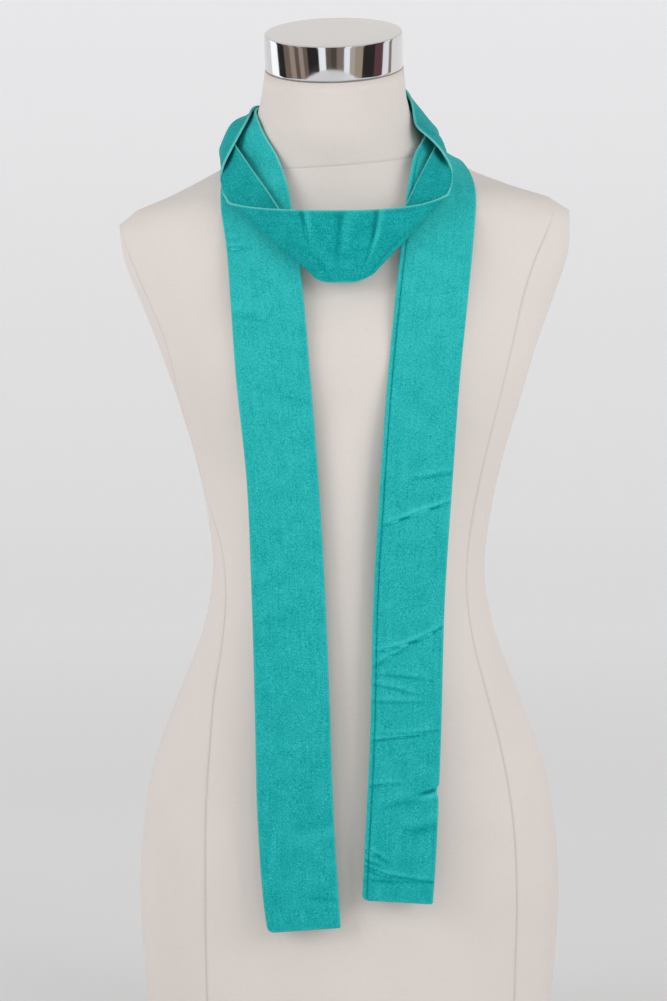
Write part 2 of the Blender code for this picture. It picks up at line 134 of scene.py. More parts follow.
NECK_SEAM_TILT = 0.55  # how far the neck's rings rise to one side, in rows
NECK_SEAM_REACH = 2.0
NECK_SEAM_SHARE = 0.6

# Neck cap
CAP_CENTRE = (-9.5, -43.52, 867.93)
CAP_HEIGHT = 30.0
CAP_PITCH_DEGREES = 15.0
CAP_SIDES = 192

FormRow = namedtuple("FormRow", "height centre_x centre_y half_width front back power pitch")
FORM_ROWS = [
    FormRow(0, -1, 0, 162, 94, 108, 2.3, 0),
    FormRow(60, -1, 0, 171, 99, 118, 2.3, 0),
    FormRow(118, -1, 0, 176, 102, 124, 2.3, 0),
    FormRow(160, -1, 0, 177, 103, 125, 2.3, 0),
    FormRow(219, -1, 0, 172, 103.5, 121, 2.3, 0),
    FormRow(270, -1, 0, 161, 104.5, 112, 2.25, 0),
    FormRow(320, -1, 0, 142, 106, 98, 2.2, 0),
    FormRow(370, -1, 0, 123, 108.5, 82, 2.15, 0),
    FormRow(421, -1, 0, 114, 111.5, 72, 2.1, 0),
    FormRow(470, -1, 0, 119, 114, 71, 2.1, 0),
    FormRow(520, -1, 0, 130, 116, 78, 2.1, 0),
    FormRow(560, -1, 0, 142, 116, 86, 2.15, 0),
    FormRow(604, -2, 0, 156, 114, 94, 2.2, 0),
    FormRow(648, -2.2, 0, 172.4, 104.5, 98, 2.3, 0),
    FormRow(680, -3, 0, 184.3, 96, 98, 2.4, 0),
    FormRow(703, -4.8, 0, 187.7, 88, 94, 2.45, 0),
    FormRow(716, -5.5, 0, 187.8, 83, 88, 2.65, 0),
    FormRow(728, -6.2, -1, 171.2, 80, 80, 2.5, 1),
    FormRow(738, -6.3, -3, 143.2, 77, 71, 2.2, 2),
    FormRow(748, -7.4, -6, 119.6, 73, 63, 2.15, 4),
    FormRow(758, -7.4, -10, 99, 68, 58, 2.1, 6),
    FormRow(769, -8.2, -15, 84, 64, 57, 2.0, 8),
    FormRow(781, -9.3, -20, 73, 62, 58, 2.0, 10),
    FormRow(795, -10.6, -25, 65.8, 61, 59, 2.0, 12),
    FormRow(812, -10.8, -30, 60.4, 59, 58, 2.0, 14),
    FormRow(838.66, -9.5, -35.68, 57, 57, 57, 2.0, 15),
]

# The cover's front seams, each by its place from side to side at a height
PanelRow = namedtuple("PanelRow", "height left right")
PANEL_ROWS = [
    PanelRow(0, -109.0, 141.0),
    PanelRow(90, -111.3, 143.5),
    PanelRow(160, -111.7, 145.0),
    PanelRow(230, -111.0, 140.6),
    PanelRow(285, -107.8, 130.2),
    PanelRow(325, -104.9, 119.4),
    PanelRow(369, -98.8, 107.6),
    PanelRow(416, -97.5, 101.6),
    PanelRow(447, -103.1, 103.0),
    PanelRow(480, -116.0, 107.8),
    PanelRow(520, -127.0, 116.5),
    PanelRow(560, -137.0, 127.0),
    PanelRow(616, -148.3, 140.5),
    PanelRow(655, -164.6, 149.8),
    PanelRow(680, -175.5, 158.4),
    PanelRow(706, -187.0, 169.0),
    PanelRow(716, -188.0, 172.0),
]

ScarfRow = namedtuple("ScarfRow", "stretch ax ay az bx by bz crown pleat layer")
SCARF_TABLE = {  # each row from ax to layer
    "left_tail": [
        (4.4, -117, 139, -55.8, -117, 133.5, 0, 0, 0),
        (2.8, -117, 162, -59.5, -117, 161, 1, 0, 0),
        (-1.3, -117, 228, -64.0, -117, 227, 1, 0, 0),
        (-4.6, -119, 326, -66.0, -119, 325, 1, 0, 0),
        (-8.4, -122, 424, -68.3, -122, 423, 2, 0, 0),
        (-13.0, -124, 505, -71.5, -124, 504, 2, 0, 0),
        (-19.3, -125, 586, -79.8, -124, 585, 2, 0, 0),
        (-25.8, -116, 650, -86.2, -110, 649, 2, 0, 0),
        (-32.0, -102, 694, -92.2, -90, 694, 2, 0, 0),
        (-38.1, -92, 722, -98.3, -76, 722, 2, 0, 0),
        (-42.3, -86, 743, -100.5, -60, 740, 2, 0, 0),
        (-47.9, -78, 756.6, -100.5, -48, 749, 2, 0, 0),
        (-55.0, -71.5, 771.3, -101.0, -36, 757, 3, 0, 0),
        (-63.4, -64.5, 782.5, -103.0, -22, 762, 4, 0, 0),
        (-67.6, -58, 792.2, -103.0, -8, 767, 6, 0, 0),
    ],
    "nape_upper": [
        (-73.5, -30, 804.5, -90.0, 20, 773, 4, 0, 0),
        (-68.5, -7, 809, -76.0, 31, 775, 2, 0, 0),
        (-60.0, 6, 823, -62.0, 38, 782, 1, 0, 0),
        (-36.0, 18, 838, -38.0, 42, 791, 1, 1.5, 0),
        (-9.0, 22, 842, -9.0, 44, 790, 1, 3, 0),
        (20.0, 18, 835, 22.0, 46, 784, 1, 3, 0.4),
        (40.0, 4, 826, 46.0, 42, 782, 1, 1, 0.5),
    ],
    "right_loop": [
        (48.8, -12, 818.5, 60.0, 36, 784, 4, 0, 0.3),
        (53.3, -28, 805, 66.0, 34, 780, 7, 0, 0.2),
        (57.9, -47, 790, 71.0, 28, 776, 10, 0, 0.3),
        (65.9, -56, 784.3, 70.0, 18, 777, 7, 0, 2.0),
        (73.4, -61, 778.5, 70.0, 8, 782, 5, 0, 1.8),
        (80.5, -63, 771, 70.5, 0, 784, 4, 0, 1.5),
        (85.5, -63, 764, 71.5, -8, 784, 3, 0, 1.2),
        (88.0, -64, 759, 72.5, -20, 781, 2, 0, 1),
        (89.8, -67, 755, 73.0, -42, 773, 2, 0, 1),
        (91.0, -72, 749, 72.0, -64, 767, 2, 0, 1),
        (90.6, -80, 741, 62.5, -84, 745, 2, 0, 1),
    ],
    "front": [
        (89.4, -85, 737, 50.0, -100, 716, 2, 0, 1),
        (88.8, -88, 735, 34.0, -111, 678.5, 1, 0, 1),
        (89.8, -90, 735.6, 33.0, -114, 676, 0, 0, 1),
        (87.5, -94, 734, 31.5, -117, 673.5, 1, 0, 1),
        (70.0, -106, 727.5, 28.0, -120, 669.3, 2, 0, 1),
        (38.0, -120, 723, 18.0, -122, 664.5, 2, 0, 1),
        (3.6, -125, 721.9, 3.0, -122, 663.7, 2, 0, 1),
        (-29.1, -121, 722.3, -7.0, -121, 663.8, 2, 0, 1),
        (-62.0, -108, 723.9, -13.5, -120, 666, 2, 0, 1),
        (-89.0, -92, 727.5, -17.5, -118, 670.7, 1, 0, 1),
        (-91.0, -88.5, 728.3, -18.5, -115, 672, 0, 0, 1),
        (-92.3, -85.5, 729.6, -20.0, -111, 674, 1, 0, 1),
    ],
    "left_loop": [
        (-94.0, -82, 732, -38.0, -104, 708, 2, 0, 1),
        (-97.2, -76, 736, -57.0, -91, 736, 2, 0, 1),
        (-99.0, -69, 742, -74.0, -75, 757, 2, 0, 1),
        (-100.5, -64, 747, -87.0, -56, 773, 2, 0, 1),
        (-100.4, -62, 750, -96.0, -24, 780, 1, 0, 1),
        (-99.9, -62, 752.5, -104.0, 2, 775, 0, 0, 1.5),
        (-98.9, -62, 757, -107.0, 10, 777, 2.5, 1, 2.2),
        (-96.5, -60, 762.5, -106.0, 16, 779, 4, 0.5, 2.2),
        (-90.5, -56, 774, -104.0, 24, 782, 7, 0, 2.2),
        (-83.6, -50, 786.4, -96.0, 34, 783, 13, 0, 1.6),
        (-76.6, -43, 798.6, -88.0, 42, 778, 11, 0, 1.2),
        (-74.5, -12, 807.6, -80.0, 46, 770, 8, 0, 1),
    ],
    "nape_lower": [
        (-68.0, 6, 807, -64.0, 54, 758, 2, 0, 1.2),
        (-46.0, 37, 798, -40.0, 61, 748, 1, 1, 0.9),
        (-9.0, 46, 787.5, -9.0, 64, 740, 1, 3, 0),
        (26.0, 40, 786, 26.0, 60, 740, 1, 3, 0),
        (50.0, 18, 788, 54.0, 44, 752, 1, 2, 0),
    ],
    "right_tail": [
        (60.0, -8, 791, 74.0, 20, 762, 0, 0, 0),
        (64.0, -28, 787, 90.0, 0, 762, -2, 0, 0),
        (66.0, -43, 782, 97.5, -18, 755, -3, 0, 0),
        (59.5, -62, 770, 103.0, -37, 747, -1, 0, 0),
        (57.0, -75, 756, 106.5, -52, 737.5, 1, 0, 0),
        (55.0, -86, 738, 108.7, -68, 723, 2, 0, 0),
        (51.5, -101, 697, 108.8, -88, 696, 2, 0, 0),
        (47.8, -115, 650, 105.9, -108, 650, 2, 0, 0),
        (42.5, -124, 586, 100.5, -121, 586, 2, 0, 0),
        (36.5, -124, 500, 94.8, -123, 500, 2, 0, 0),
        (31.0, -121, 410, 89.0, -121, 410, 1, 0, 0),
        (28.0, -118, 294, 85.8, -118, 294, 1, 0, 0),
        (23.2, -117, 196, 81.9, -117, 196, 1, 0, 0),
        (21.6, -117, 162, 79.5, -117, 160, 0, 0, 0),
    ],
}
SCARF_ROWS = [ScarfRow(name, *row) for name, rows in SCARF_TABLE.items() for row in rows]

# Creases, each from one point of the ribbon to another: mm along from the left tail's end, and
# mm across from the neck edge. bow bends the line, depth is its trough and width its half width.
Crease = namedtuple("Crease", "along across to_along to_across bow depth width")
CREASES = [
    # right tail
    Crease(1903.1, 24, 1896.1, 66, 0.0, 0.45, 2.2),
    Crease(1941.1, 3, 1919.1, 64, 0.0, 1.0, 1.5),
    Crease(2043.1, 2, 2017.1, 66, -4.4, 0.95, 1.5),
    Crease(2058.1, -2, 2037.1, 33, 0.0, 0.5, 1.7),
    Crease(2062.1, -4, 2067.1, 56, 1.5, 0.4, 1.8),
    Crease(2069.1, -4, 2079.1, 42, 1.0, 0.5, 1.7),
    Crease(2084.1, -3, 2084.1, 45, 0.0, 0.4, 1.6),
    Crease(2116.1, -1, 2110.1, 50, 0.0, 0.75, 1.2),
    Crease(2111.1, 12, 2106.1, 66, 0.0, 0.5, 1.3),
    Crease(2151.1, 68, 2159.1, 42, 1.5, 1.2, 1.7),
    Crease(2154.1, -6, 2150.1, 30, 0.0, 0.5, 1.6),
    Crease(2172.1, 10, 2166.1, 44, 2.0, 0.3, 3.5),
    Crease(2190.1, 30, 2182.1, 66, -2.0, 0.3, 4.0),
    Crease(2203.1, -8, 2218.1, 24, 1.5, 0.6, 1.6),
    Crease(2211.1, -6, 2221.1, 18, 0.0, 0.55, 1.5),
    Crease(2217.1, -6, 2229.1, 24, 1.0, 0.6, 1.5),
    Crease(2221.1, -8, 2231.1, 68, -1.5, 0.55, 1.4),
    # left tail
    Crease(558.3, 70, 562.3, 34, 0.0, 0.5, 1.6),
    Crease(565.3, 70, 567.3, 46, 0.5, 0.4, 1.5),
    Crease(502.3, 66, 496.3, 30, 3.0, 0.25, 4.0),
    Crease(432.3, -6, 438.3, 28, 3.0, 0.2, 5.0),
    Crease(252.3, 66, 264.3, 20, -4.0, 0.2, 6.0),
    Crease(94, -6, 86, 36, 2.0, 0.2, 5.0),
    Crease(24, -6, 28, 26, 0.0, 0.25, 2.5),
    # front
    Crease(1138.5, -14, 1142.5, 28, 0.5, 0.8, 1.5),
    Crease(1116.8, -14, 1119.8, 40, 0.0, 0.5, 2.6),
    Crease(1099.6, -14, 1092.5, 48, 1.5, 0.95, 1.5),
    Crease(1148.5, 30, 1130.5, 64, 3.0, 0.2, 4.0),
    Crease(1068.5, 26, 1074.5, 64, -2.0, 0.25, 3.0),
]


# ---- curves and meshes


def curve_point(values, gaps, span, share):
    """The smooth curve through values that lie gaps apart, at a share of the way along one span."""
    start = values[span]
    end = values[span + 1]
    gap = gaps[span]
    slope = (end - start) / gap
    start_slope = slope
    end_slope = slope
    if span > 0:
        before = (start - values[span - 1]) / gaps[span - 1]
        start_slope = (before * gap + slope * gaps[span - 1]) / (gap + gaps[span - 1])
    if span + 2 < len(values):
        after = (values[span + 2] - end) / gaps[span + 1]
        end_slope = (after * gap + slope * gaps[span + 1]) / (gap + gaps[span + 1])
    rest = 1 - share
    return (
        start * (1 + 2 * share) * rest**2
        + start_slope * gap * share * rest**2
        + end * (1 + 2 * rest) * share**2
        - end_slope * gap * rest * share**2
    )


def curve_gaps(points):
    return [math.sqrt((end - start).length) for start, end in zip(points, points[1:])]


def smooth_step(low, high, value):
    share = np.clip((value - low) / (high - low), 0.0, 1.0)
    return share * share * (3 - 2 * share)


def unit(vectors):
    return vectors / np.maximum(np.linalg.norm(vectors, axis=-1, keepdims=True), 1e-9)


def new_object(name, points, faces):
    mesh = bpy.data.meshes.new(name)
    mesh.from_pydata((points * MM).tolist(), [], faces)
    mesh.shade_smooth()
    mesh.update()
    obj = bpy.data.objects.new(name, mesh)
    bpy.context.scene.collection.objects.link(obj)
    return obj


def point_values(obj, name, values):
    attribute = obj.data.attributes.new(name, "FLOAT", "POINT")
    attribute.data.foreach_set("value", np.asarray(values, np.float32).ravel())


def ring_faces(rings, sides, first=0, inward=False):
    """Quads between closed rings of points that follow one another in the list of points."""
    faces = []
    for ring in range(rings - 1):
        for side in range(sides):
            following = (side + 1) % sides
            near = first + ring * sides
            far = near + sides
            face = (near + side, near + following, far + following, far + side)
            faces.append(tuple(reversed(face)) if inward else face)
    return faces


def circle_at(radius, height, sides):
    angles = np.linspace(0, math.tau, sides, endpoint=False)
    return np.stack((radius * np.cos(angles), radius * np.sin(angles), np.full(sides, height)), axis=1)


# ---- dress form


def ring_at(place):
    """The form's section at a place counted in rows of FORM_ROWS."""
    span = min(int(place), len(FORM_ROWS) - 2)
    gaps = [1.0] * len(FORM_ROWS)
    return FormRow(*[curve_point(column, gaps, span, place - span) for column in zip(*FORM_ROWS)])


def ring_places(step):
    places = []
    for span in range(len(FORM_ROWS) - 1):
        rise = FORM_ROWS[span + 1].height - FORM_ROWS[span].height
        count = max(1, round(rise / step))
        places += [span + number / count for number in range(count)]
    return places + [len(FORM_ROWS) - 1.0]


def mound(x, height, spread, middle, radius_x, radius_z):
    across = (abs(x) - spread) / radius_x
    along = (height - middle) / radius_z
    return math.exp(-(across**2) - along**2)


def bust(x, height):
    out = mound(x, height, BUST_SPREAD, BUST_HEIGHT, BUST_RADIUS_X, BUST_RADIUS_Z)
    back = mound(x, height, HOLLOW_SPREAD, HOLLOW_HEIGHT, HOLLOW_RADIUS_X, HOLLOW_RADIUS_Z)
    return BUST_DEPTH * out - HOLLOW_DEPTH * back


def form_point(ring, angle):
    cosine = math.cos(angle)
    sine = math.sin(angle)
    x = ring.half_width * math.copysign(abs(cosine) ** (2 / ring.power), cosine)
    depth = ring.front if sine < 0 else ring.back
    y = depth * math.copysign(abs(sine) ** (2 / ring.power), sine)
    if sine < 0:
        y -= bust(x, ring.height) * min(1.0, -2 * sine)
    pitch = math.radians(ring.pitch)
    z = ring.height + y * math.sin(pitch)
    y = ring.centre_y + y * math.cos(pitch)
    roll = math.radians(ROLL_DEGREES) * smooth_step(ROLL_FROM_HEIGHT, ROLL_FULL_HEIGHT, ring.height)
    roll *= 1 - smooth_step(ROLL_FADES_HEIGHT, ROLL_GONE_HEIGHT, ring.height)
    return Vector((x + ring.centre_x, y, z + x * math.sin(roll)))


def form_surface():
    """The solid form's own facets, which the cloth was settled on."""
    points = []
    for place in ring_places(FORM_RING_STEP):
        ring = ring_at(place)
        points += [form_point(ring, math.tau * side / FORM_SIDES) for side in range(FORM_SIDES)]
    return BVHTree.FromPolygons(points, ring_faces(len(points) // FORM_SIDES, FORM_SIDES))


# ---- scarf


def ribbon_samples():
    edges_a = [Vector((row.ax, row.ay, row.az)) for row in SCARF_ROWS]
    edges_b = [Vector((row.bx, row.by, row.bz)) for row in SCARF_ROWS]
    gaps_a = curve_gaps(edges_a)
    gaps_b = curve_gaps(edges_b)
    gaps = [(gap_a + gap_b) / 2 for gap_a, gap_b in zip(gaps_a, gaps_b)]
    columns = {
        "a": (edges_a, gaps_a),
        "b": (edges_b, gaps_b),
        "crown": ([row.crown for row in SCARF_ROWS], gaps),
        "pleat": ([row.pleat for row in SCARF_ROWS], gaps),
        "layer": ([row.layer for row in SCARF_ROWS], gaps),
    }
    samples = []
    for span in range(len(SCARF_ROWS) - 1):
        length = max(
            (edges_a[span + 1] - edges_a[span]).length,
            (edges_b[span + 1] - edges_b[span]).length,
        )
        count = max(1, round(length / RIBBON_STEP))
        last_span = span == len(SCARF_ROWS) - 2
        for step in range(count + last_span):
            sample = {
                name: curve_point(values, spacing, span, step / count)
                for name, (values, spacing) in columns.items()
            }
            sample["stretch"] = SCARF_ROWS[span].stretch
            samples.append(sample)
    return samples


def ribbon_line(samples, number):
    here = samples[number]
    before = samples[max(number - 1, 0)]
    after = samples[min(number + 1, len(samples) - 1)]
    travel = (after["a"] + after["b"]) - (before["a"] + before["b"])
    across = here["b"] - here["a"]
    normal = travel.cross(across).normalized()
    points = []
    for column in range(RIBBON_COLUMNS + 1):
        share = column / RIBBON_COLUMNS
        swell = here["crown"] * math.sin(math.pi * share)
        swell += here["pleat"] * math.sin(3 * math.pi * share)
        points.append(here["a"] + across * share + normal * swell)
    return points


def ribbon_surface(lines):
    columns = len(lines[0])
    quads = []
    for row in range(len(lines) - 1):
        for column in range(columns - 1):
            corner = row * columns + column
            quads.append((corner, corner + columns, corner + columns + 1, corner + 1))
    return BVHTree.FromPolygons([point for line in lines for point in line], quads)


def push_clear(point, lift, surface, reach):
    place, normal, _, _ = surface.find_nearest(point)
    offset = point - place
    height = offset.dot(normal)
    aside = (offset - normal * height).length
    if height >= lift or height < -DEEPEST_PUSH or aside > reach:
        return Vector()
    return normal * (lift - height) * (1 - aside / reach)


def settle_on(lines, lifts, surface, reach):
    start = [list(line) for line in lines]
    for turn in range(SETTLE_TURNS):
        moved = [
            [point + push_clear(point, lift, surface, reach) for point in line]
            for line, lift in zip(lines, lifts)
        ]
        if turn == SETTLE_TURNS - 1:
            return moved
        lines = [list(line) for line in moved]
        for row in range(1, len(lines) - 1):
            for column in range(len(lines[row])):
                shifts = [
                    moved[near][column] - start[near][column] for near in (row - 1, row, row + 1)
                ]
                average = (shifts[0] + shifts[1] * 2 + shifts[2]) / 4
                lines[row][column] = start[row][column] + average
    return lines


def lies_over(stretch, x):
    if stretch in ("front", "left_loop", "nape_lower") and x < 0:
        return ("left_tail", "nape_upper")
    if stretch in ("front", "right_loop", "nape_upper") and x > 0:
        return ("right_tail", "nape_lower")
    return ()


def settled_lines(samples):
    lines = [ribbon_line(samples, number) for number in range(len(samples))]
    lifts = [FORM_LIFT + LAYER_LIFT * sample["layer"] for sample in samples]
    lines = settle_on(lines, lifts, form_surface(), FORM_REACH)
    for under in (("left_tail", "nape_upper"), ("right_tail", "nape_lower")):
        below = [number for number, sample in enumerate(samples) if sample["stretch"] in under]
        surface = ribbon_surface([lines[number] for number in below])
        above = [
            number
            for number, sample in enumerate(samples)
            if lies_over(sample["stretch"], sample["a"].x) == under
        ]
        lifts = [LAYER_LIFT * max(1.0, samples[number]["layer"]) for number in above]
        moved = settle_on([lines[number] for number in above], lifts, surface, LAYER_REACH)
        for number, line in zip(above, moved):
            lines[number] = line
    return lines


def finer_lines(lines):
    """More lines along the ribbon, on smooth curves through the solids' own, and evened a little."""
    grid = [np.array(line) for line in lines]
    lengths = [np.linalg.norm(after - here, axis=1) for here, after in zip(grid, grid[1:])]
    gaps = [math.sqrt(length.mean()) for length in lengths]
    fine = []
    along = 0.0
    for span, length in enumerate(lengths):
        close = any(first <= along <= final for first, final in CLOSE_RUNS)
        count = max(1, round(length.max() / (CLOSE_STEP if close else PLAIN_STEP)))
        fine += [curve_point(grid, gaps, span, step / count) for step in range(count)]
        along += length.mean()
    fine = np.array(fine + [grid[-1]])
    for _ in range(RELAX_TURNS):
        evened = fine.copy()
        evened[1:-1] = (fine[:-2] + fine[1:-1] * 2 + fine[2:]) / 4
        fine = evened
    return fine


def across_places():
    """Where the fine mesh has its columns, as shares of the ribbon's width."""
    near = [place / RIBBON_WIDTH for place in EDGE_PLACES]
    first = near[-1]
    step = (1 - 2 * first) / MIDDLE_COLUMNS
    middle = [first + step * number for number in range(1, MIDDLE_COLUMNS)]
    return np.array(near + middle + [1 - place for place in reversed(near)])


def across_weights(places):
    """What carries the solids' columns to other places across the ribbon, on smooth curves."""
    gaps = [1.0] * RIBBON_COLUMNS
    weights = np.zeros((len(places), RIBBON_COLUMNS + 1))
    for number, place in enumerate(places):
        span = min(int(place * RIBBON_COLUMNS), RIBBON_COLUMNS - 1)
        share = place * RIBBON_COLUMNS - span
        for column in range(RIBBON_COLUMNS + 1):
            alone = [float(other == column) for other in range(RIBBON_COLUMNS + 1)]
            weights[number, column] = curve_point(alone, gaps, span, share)
    return weights


def surface_normals(grid):
    """Normals of a grid of points, away from the neck, evened out between neighbours."""
    travel = np.gradient(grid, axis=0)
    across = np.gradient(grid, axis=1)
    normals = unit(np.cross(travel, across))
    for _ in range(NORMAL_TURNS):
        padded = np.pad(normals, ((1, 1), (1, 1), (0, 0)), mode="edge")
        normals = unit(
            normals * 2
            + padded[:-2, 1:-1]
            + padded[2:, 1:-1]
            + padded[1:-1, :-2]
            + padded[1:-1, 2:]
        )
    return normals


def crease_depths(along, across):
    """How far each point of the ribbon moves outwards for its creases, and the painted shade and
    highlight they give its colour.
    """
    moved = np.zeros(np.broadcast(along, across).shape)
    painted_groove_shading = np.zeros(moved.shape)
    for crease in CREASES:
        run = crease.to_along - crease.along
        rise = crease.to_across - crease.across
        length = math.hypot(run, rise)
        share = ((along - crease.along) * run + (across - crease.across) * rise) / length**2
        aside = ((across - crease.across) * run - (along - crease.along) * rise) / length
        inside = np.clip(share, 0.0, 1.0)
        aside = (aside - crease.bow * 4 * inside * (1 - inside)) / crease.width
        fade = np.sin(math.pi * inside) ** CREASE_FADE
        trough = np.exp(-(aside**2))
        ridge = RIDGE_SHARE * np.exp(-(((aside - RIDGE_PLACE) / RIDGE_WIDTH) ** 2))
        lip = LIP_SHARE * np.exp(-(((aside + RIDGE_PLACE) / RIDGE_WIDTH) ** 2))
        moved -= crease.depth * fade * (trough - ridge - lip)
        # painted shade along each trough's line and painted highlight on its ridges, put into the
        # colour
        sharp = np.exp(-((aside * CREASE_SHARP) ** 2))
        painted_groove_shading += crease.depth * fade * (ridge - sharp)
    return moved, painted_groove_shading


def edge_thickness(distance):
    """Half the cloth's thickness at a distance from its folded edge, as a share of its middle's."""
    inside = np.clip(distance / EDGE_ROUND, 0.0, 1.0)
    puff = EDGE_PUFF * np.exp(-(((distance - EDGE_PUFF_PLACE) / EDGE_PUFF_WIDTH) ** 2))
    return np.sqrt(np.maximum(1 - (1 - inside) ** 2, 0.0)) * (1 + puff)


def notch_inset(along):
    """How far the right tail's outer edge is drawn in where a crease pulls it."""
    above = np.exp(-(((along - NOTCH_PLACE) / NOTCH_SHARP) ** 2))
    below = np.exp(-(((along - NOTCH_PLACE) / NOTCH_SOFT) ** 2))
    return NOTCH_DEPTH * np.where(along < NOTCH_PLACE, above, below)


def corner_inset(distance, radius):
    """How far a tail's edge lies in from its straight line, at a distance from the tail's end."""
    short = np.clip(radius - distance, 0.0, radius)
    return radius - np.sqrt(radius**2 - short**2)


def ribbon_middle(lines, along, places):
    """The ribbon's middle surface, drawn in at the tails' corners and at the notch."""
    middle = np.einsum("pc,rcx->rpx", across_weights(places), lines)
    to_end = along[-1] - along
    inset_a = corner_inset(along, SHARP_CORNER) + corner_inset(to_end, ROUND_CORNER)
    inset_b = corner_inset(along, ROUND_CORNER) + corner_inset(to_end, SHARP_CORNER)
    drawn_in = inset_b * places - inset_a * (1 - places)
    drawn_in += notch_inset(along) * smooth_step(NOTCH_FROM, 1.0, places)
    width = (lines[:, 0] - lines[:, -1])[:, None, :]
    return middle + width * (drawn_in / RIBBON_WIDTH)[:, :, None]


def tube_faces(rows, cavity_rows, sides):
    """Faces of a closed tube and of the hollow in it, joined at both ends."""
    count = rows * sides
    faces = ring_faces(rows, sides)
    faces += ring_faces(cavity_rows, sides, first=count, inward=True)
    last = (rows - 1) * sides
    cavity_last = count + (cavity_rows - 1) * sides
    for side in range(sides):
        following = (side + 1) % sides
        faces.append((following, side, count + side, count + following))
        faces.append((last + side, last + following, cavity_last + following, cavity_last + side))
    return faces


def add_scarf():
    lines = finer_lines(settled_lines(ribbon_samples()))
    steps = np.linalg.norm(np.diff(lines, axis=0), axis=2).mean(axis=1)
    along = np.concatenate(([0.0], np.cumsum(steps)))[:, None]
    from_end = np.minimum(along, along[-1] - along)
    on_right_tail = smooth_step(along[-1] - TAIL_LENGTHS[1], along[-1] - TAIL_LENGTHS[0], along)
    hem = np.exp(-(((from_end - HEM_PLACE) / HEM_WIDTH) ** 2))
    hem = hem * (LEFT_HEM_SHARE + (1 - LEFT_HEM_SHARE) * on_right_tail)
    places = across_places()
    inner_places = np.clip(places, CAVITY_EDGE / RIBBON_WIDTH, 1 - CAVITY_EDGE / RIBBON_WIDTH)
    edge = np.minimum(places, 1 - places) * RIBBON_WIDTH
    half = edge_thickness(np.minimum(edge, from_end + TIP_EDGE)) * CLOTH_WALL / 2
    skins = []
    for skin_places, share in ((places, 1.0), (inner_places, CAVITY_SHARE)):
        across = skin_places * RIBBON_WIDTH
        seam = np.exp(-(((across - SEAM_PLACE) / SEAM_WIDTH) ** 2)) * on_right_tail
        moved, painted_groove_shading = crease_depths(along, across)
        middle = ribbon_middle(lines, along, skin_places)
        middle = middle + surface_normals(middle) * moved[:, :, None]
        normals = surface_normals(middle)
        groove = np.maximum(SEAM_DEPTH * seam, HEM_DEPTH * hem)
        outer = middle + normals * ((half - groove) * share)[:, :, None]
        inner = middle - normals * (half * share)[:, :, None]
        parts = (middle[:, :1], inner[:, 1:-1], middle[:, -1:], outer[:, -2:0:-1])
        skins.append(np.concatenate(parts, axis=1))
    rows, sides, _ = skins[0].shape
    kept = [*range(0, rows - 1, CAVITY_ROW_STEP), rows - 1]
    points = np.concatenate((skins[0].reshape(-1, 3), skins[1][kept].reshape(-1, 3)))
    obj = new_object("scarf_ribbon", points, tube_faces(rows, len(kept), sides))

    def both_faces(values):
        return np.concatenate((values, values[..., -2:0:-1]), axis=-1)

    def both_skins(values):
        grid = np.broadcast_to(values, (rows, sides))
        return np.concatenate((grid.ravel(), grid[kept].ravel()))

    round_the_tube = np.concatenate((places, 2 - places[-2:0:-1])) * RIBBON_WIDTH
    texture_place = np.stack((both_skins(round_the_tube), both_skins(along)), axis=1) * MM
    corners = np.empty(len(obj.data.loops), dtype=np.int32)
    obj.data.loops.foreach_get("vertex_index", corners)
    obj.data.uv_layers.new(name="cloth").data.foreach_set("uv", texture_place[corners].ravel())
    # painted sheen: where the ribbon hangs upright, on the tails, it is painted lighter than the rest
    painted_tail_sheen = 1 - smooth_step(*SHOULDER_LENGTHS, from_end)
    point_values(obj, "upright", both_skins(painted_tail_sheen))
    # painted shade in the seam's and the hem's grooves, added to the creases' painted shade and
    # highlight
    painted_groove_shading = painted_groove_shading - np.maximum(SEAM_PAINTED_SHADE * seam, HEM_PAINTED_SHADE * hem)
    point_values(obj, "groove_shading_paint", both_skins(both_faces(painted_groove_shading)))
    # painted highlight: the ribbon is painted paler along its folded edges and at its ends
    from_edge = np.minimum(both_faces(edge), from_end)
    off_tails = smooth_step(*TAIL_LENGTHS, from_end)
    edge_highlight_mask = TAIL_HIGHLIGHT_SHARE + (1 - TAIL_HIGHLIGHT_SHARE) * off_tails
    edge_highlight_mask = edge_highlight_mask * np.exp(-((from_edge / PAINTED_HIGHLIGHT_WIDTH) ** 2))
    point_values(obj, "painted_edge_highlight", both_skins(edge_highlight_mask))
    return obj


# ---- cover of the form


def panel_share(ring, column):
    """Where a front seam lies at one section, as a share of its half width."""
    heights = [row.height for row in PANEL_ROWS]
    values = [row[column] for row in PANEL_ROWS]
    span = 0
    while span < len(heights) - 2 and ring.height > heights[span + 1]:
        span += 1
    gaps = [after - here for here, after in zip(heights, heights[1:])]
    share = min(max((ring.height - heights[span]) / gaps[span], 0.0), 1.0)
    x = curve_point(values, gaps, span, share)
    half_width = ring.half_width
    if ring.height > heights[-1]:
        half_width = max(half_width, MIN_PANEL_WIDTH)
    return (x - ring.centre_x) / half_width


def seam_angles(ring):
    """The angles of the cover's seams round one section, from the left front seam to itself."""
    left, right = (
        math.acos(math.copysign(min(abs(share), WIDEST_PANEL) ** (ring.power / 2), share))
        for share in (panel_share(ring, 1), panel_share(ring, 2))
    )
    return [-left, -right, right, math.pi / 2, left, math.tau - left]


def turning_speed(ring, angle):
    """Millimetres round the section for a radian, at an angle."""
    before = form_point(ring, angle - SMALL_TURN)
    after = form_point(ring, angle + SMALL_TURN)
    return (after - before).length / (2 * SMALL_TURN)


